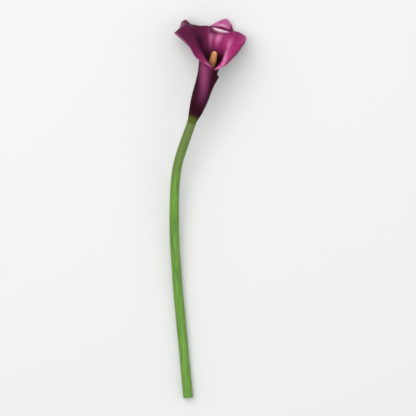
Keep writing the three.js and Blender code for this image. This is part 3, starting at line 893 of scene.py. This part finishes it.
class FLOWER_OT_spadix(bpy.types.Operator):
    """Makes the spadix with its packed florets"""

    bl_idname = "flower.spadix"
    bl_label = "Spadix"

    def execute(self, context):
        settings = context.scene.flower_spadix
        spadix = make_spadix(settings)
        spadix.data.materials.append(spadix_material(settings))
        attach(spadix, "root")
        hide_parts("spadix")
        return {"FINISHED"}


# ---------------------------------------------------------------- stem


class StemSettings(bpy.types.PropertyGroup):
    """Ribs and colours of the stem."""

    ribs: bpy.props.IntProperty(
        name="Ribs", description="Fine ribs round the stem", default=22, min=0, max=48)
    rib_height: bpy.props.FloatProperty(
        name="Rib height", description="How far the ribs stand out",
        default=0.00004, min=0, max=0.0002, unit="LENGTH")
    green: bpy.props.FloatVectorProperty(
        name="Green", description="Fresh green of the stem",
        default=colour("#6FA22E"), size=4, subtype="COLOR", min=0, max=1)
    dark_green: bpy.props.FloatVectorProperty(
        name="Dark green", description="Darker green of the streaks and patches",
        default=colour("#4A761C"), size=4, subtype="COLOR", min=0, max=1)
    flush: bpy.props.FloatVectorProperty(
        name="Flush", description="Purple brown flush below the spathe",
        default=colour("#5A2428"), size=4, subtype="COLOR", min=0, max=1)
    flesh: bpy.props.FloatVectorProperty(
        name="Cut flesh", description="Pale green flesh at the cut",
        default=colour("#C9D98F"), size=4, subtype="COLOR", min=0, max=1)


def make_stem(settings):
    """The stem: rings along the centre line, from its cut face over its lip and its length to its neck.

    The cut face is a shallow paraboloid with small bumps for its bundles of fibres. Ribs are a cosine
    of the azimuth, and slow sines bend the surface a little.
    """
    azimuth = (360 * np.arange(STEM_SIDES) / STEM_SIDES)[None, :]
    turn = np.radians(azimuth)
    face = np.linspace(0.06, 0.94, CUT_RINGS)[:, None]
    bundles = 0.05 * np.cos(19 * turn + 9 * face) * np.cos(34 * face) * (1 - face**6)
    dish = CUT_DISH * (1 - face**2)
    cut = around(STEM_CUT + dish + bundles, azimuth, STEM_CUT_RADIUS * face)

    lip_y, lip_share = np.transpose(CUT_LIP)[..., None]
    lip = around(STEM_CUT + lip_y, azimuth, STEM_CUT_RADIUS * lip_share)

    y = np.linspace(STEM_CUT + BODY_OVER_CUT, BODY_END, STEM_RINGS)[:, None]
    share = (y - STEM_CUT) / -STEM_CUT
    radius = STEM_CUT_RADIUS + (STEM_TOP_RADIUS - STEM_CUT_RADIUS) * share**3
    radius = radius - SHOULDER * ease((y + 0.9) / 0.8)
    ribs = settings.rib_height / MM * np.cos(settings.ribs * turn + 1.5 * np.sin(y / 37))
    bends = 0.05 * np.sin(y / 11 + 2 * turn) + 0.04 * np.sin(y / 5.3 + 1.0 - turn)
    body = around(y, azimuth, radius + ribs + bends * ease((BODY_END - y) / 20))

    neck_y, neck_radius = np.transpose(NECK)[..., None]
    rings = np.concatenate([cut, lip, body, around(neck_y, azimuth, neck_radius)])
    rings[..., 2] = np.maximum(rings[..., 2], 0)
    flesh = np.zeros(len(rings))
    flesh[:len(cut)] = 1
    reach = np.concatenate([face[:, 0], np.ones(len(rings) - len(cut))])
    marks = {"flesh": flesh[:, None] + 0 * azimuth, "reach": reach[:, None] + 0 * azimuth}
    return capped_tube("stem_stalk", rings, centre(STEM_CUT + CUT_DISH), centre(NECK[-1][0]), marks)


# Flesh of the cut: between its bundles of fibres, and in its ring below the skin.
FLESH_GROUND = colour("#8DA24C")
FLESH_RING = colour("#A9C566")


def stem_material(settings):
    """Smooth green skin streaked lengthwise and flushed purple brown towards the spathe.

    The cut shows pale flesh with the dots of its fibres.
    """
    made, tree, shader = blank("stem_skin_detail")
    place = add(tree, "ShaderNodeTexCoord").outputs["Object"]
    streaks = noise(tree, stretched(tree, place, (900, 14, 900)), 1.0)
    patches = noise(tree, stretched(tree, place, (60, 18, 60)), 1.0)
    grain = noise(tree, place, 1800.0, 2.0)
    y = add(tree, "ShaderNodeSeparateXYZ", {0: place}).outputs["Y"]

    skin = mixed(tree, ranged(tree, streaks, 0.35, 0.7), settings.dark_green, settings.green)
    skin = mixed(tree, ranged(tree, patches, 0.45, 0.75, 0.0, 0.5), skin, settings.dark_green)
    near = ranged(tree, maths(tree, "ADD", y, times(tree, patches, 0.05)), 0.03, 0.105)
    flush = times(tree, near, ranged(tree, streaks, 0.35, 0.65, 0.2, 0.75))
    skin = mixed(tree, flush, skin, settings.flush)
    cells = {"Vector": stretched(tree, place, (1, 0.05, 1)), "Scale": 1500.0}
    dots = add(tree, "ShaderNodeTexVoronoi", cells).outputs["Distance"]
    flesh = mixed(tree, ranged(tree, dots, 0.1, 0.4), FLESH_GROUND, settings.flesh)
    flesh = mixed(tree, ranged(tree, mark(tree, "reach"), 0.78, 0.95), flesh, FLESH_RING)
    skin = mixed(tree, mark(tree, "flesh"), skin, flesh)
    relief = weighted(tree, (streaks, 0.8), (grain, 0.25))
    bump = raised(tree, relief, 0.0001, 0.5)
    join(tree, shader, skin, bump, ranged(tree, patches, 0.2, 0.8, 0.34, 0.5))
    soften(shader, 0.08, (0.4, 0.8, 0.2), 0.001)
    return made


class FLOWER_OT_stem(bpy.types.Operator):
    """Makes the stem with its cut end"""

    bl_idname = "flower.stem"
    bl_label = "Stem"

    def execute(self, context):
        settings = context.scene.flower_stem
        stem = make_stem(settings)
        stem.data.materials.append(stem_material(settings))
        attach(stem, "root")
        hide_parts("stem")
        return {"FINISHED"}


# ---------------------------------------------------------------- stage


class StageSettings(bpy.types.PropertyGroup):
    """Floor, lights and camera."""

    floor_colour: bpy.props.FloatVectorProperty(
        name="Floor", description="Pale grey of the table",
        default=colour("#DBDCDC"), size=4, subtype="COLOR", min=0, max=1)
    key_power: bpy.props.FloatProperty(
        name="Key light", description="Power of the large light from the upper left",
        default=23.5, min=0, unit="POWER")
    fill_power: bpy.props.FloatProperty(
        name="Fill light", description="Power of the weaker light from the right",
        default=2.0, min=0, unit="POWER")
    lens: bpy.props.FloatProperty(
        name="Lens", description="Focal length in millimetres", default=500.0, min=10, unit="CAMERA")
    view_width: bpy.props.FloatProperty(
        name="View width", description="Width of the table that the camera sees",
        default=0.345, min=0.1, unit="LENGTH")


# Stage: how far the floor reaches each way, the point that the lights face, each light's place, width
# and tint, the strength of the white sky, and how far the camera sees.
FLOOR_REACH = 3.0
LIT_POINT = (-0.008, 0.11, 0.02)
KEY_PLACE, KEY_WIDTH, KEY_TINT = (-0.45, 0.5, 1.5), 1.8, (1.0, 0.985, 0.96)
FILL_PLACE, FILL_WIDTH, FILL_TINT = (0.9, -0.2, 0.9), 0.9, (0.95, 0.97, 1.0)
SKY_STRENGTH = 0.6
FARTHEST_SEEN = 20.0


def make_light(name, place, width, power, tint):
    """A square soft light turned from its place towards the lit point."""
    lamp = bpy.data.lights.new(name, "AREA")
    lamp.size, lamp.energy, lamp.color = width, power, tint
    made = bpy.data.objects.new(name, lamp)
    made.location = place
    direction = np.array(LIT_POINT) - np.array(place)
    made.rotation_mode = "QUATERNION"
    made.rotation_quaternion = Vector(direction.tolist()).to_track_quat("-Z", "Y")
    bpy.context.scene.collection.objects.link(made)


def make_floor(settings):
    """A plain pale table top far wider than the flower."""
    corners = [(x * FLOOR_REACH, y * FLOOR_REACH, 0) for x, y in ((-1, -1), (1, -1), (1, 1), (-1, 1))]
    mesh = bpy.data.meshes.new("floor")
    mesh.from_pydata(corners, [], [(0, 1, 2, 3)])
    floor = bpy.data.objects.new("floor", mesh)
    bpy.context.scene.collection.objects.link(floor)
    made, _, shader = blank("floor_paint")
    shader.inputs["Base Color"].default_value = settings.floor_colour
    shader.inputs["Roughness"].default_value = 0.7
    floor.data.materials.append(made)


class FLOWER_OT_stage(bpy.types.Operator):
    """Makes the floor, the lights and the camera that looks down on the flower"""

    bl_idname = "flower.stage"
    bl_label = "Stage"

    def execute(self, context):
        settings = context.scene.flower_stage
        make_floor(settings)
        make_light("key_light", KEY_PLACE, KEY_WIDTH, settings.key_power, KEY_TINT)
        make_light("fill_light", FILL_PLACE, FILL_WIDTH, settings.fill_power, FILL_TINT)
        context.scene.view_settings.view_transform = "Standard"
        world = bpy.data.worlds.new("studio")
        world.use_nodes = True
        sky = world.node_tree.nodes["Background"]
        sky.inputs["Color"].default_value = (1.0, 1.0, 1.0, 1)
        sky.inputs["Strength"].default_value = SKY_STRENGTH
        context.scene.world = world
        camera = bpy.data.objects.new("camera", bpy.data.cameras.new("camera"))
        camera.data.lens = settings.lens
        distance = settings.view_width / camera.data.sensor_width * settings.lens
        camera.location = (0.0, 0.0, distance)
        camera.data.clip_end = FARTHEST_SEEN
        context.scene.collection.objects.link(camera)
        context.scene.camera = camera
        return {"FINISHED"}


class FLOWER_PT_sidebar(bpy.types.Panel):
    """The flower's pieces and their settings"""

    bl_idname = "FLOWER_PT_sidebar"
    bl_label = "Calla Lily Flower"
    bl_space_type = "VIEW_3D"
    bl_region_type = "UI"
    bl_category = "Flower"

    def draw(self, context):
        for part in ("spathe", "spadix", "stem", "stage"):
            settings = getattr(context.scene, "flower_" + part)
            box = self.layout.box()
            for name in settings.bl_rna.properties.keys():
                if name not in ("rna_type", "name"):
                    box.prop(settings, name)
            box.operator("flower." + part)


SETTINGS = {"flower_spathe": SpatheSettings, "flower_spadix": SpadixSettings,
            "flower_stem": StemSettings, "flower_stage": StageSettings}
CLASSES = (*SETTINGS.values(), FLOWER_OT_spathe, FLOWER_OT_spadix, FLOWER_OT_stem, FLOWER_OT_stage,
           FLOWER_PT_sidebar)


def register():
    """Makes the classes known and hangs the settings on the scene."""
    for kind in CLASSES:
        bpy.utils.register_class(kind)
    for name, kind in SETTINGS.items():
        setattr(bpy.types.Scene, name, bpy.props.PointerProperty(type=kind))


def unregister():
    """Takes the settings and the classes away again."""
    for name in SETTINGS:
        delattr(bpy.types.Scene, name)
    for kind in reversed(CLASSES):
        bpy.utils.unregister_class(kind)


def main():
    """Makes the flower and its stage."""
    register()
    bpy.ops.flower.stage()
    bpy.ops.flower.stem()
    bpy.ops.flower.spadix()
    bpy.ops.flower.spathe()


if __name__ == "__main__":
    main()
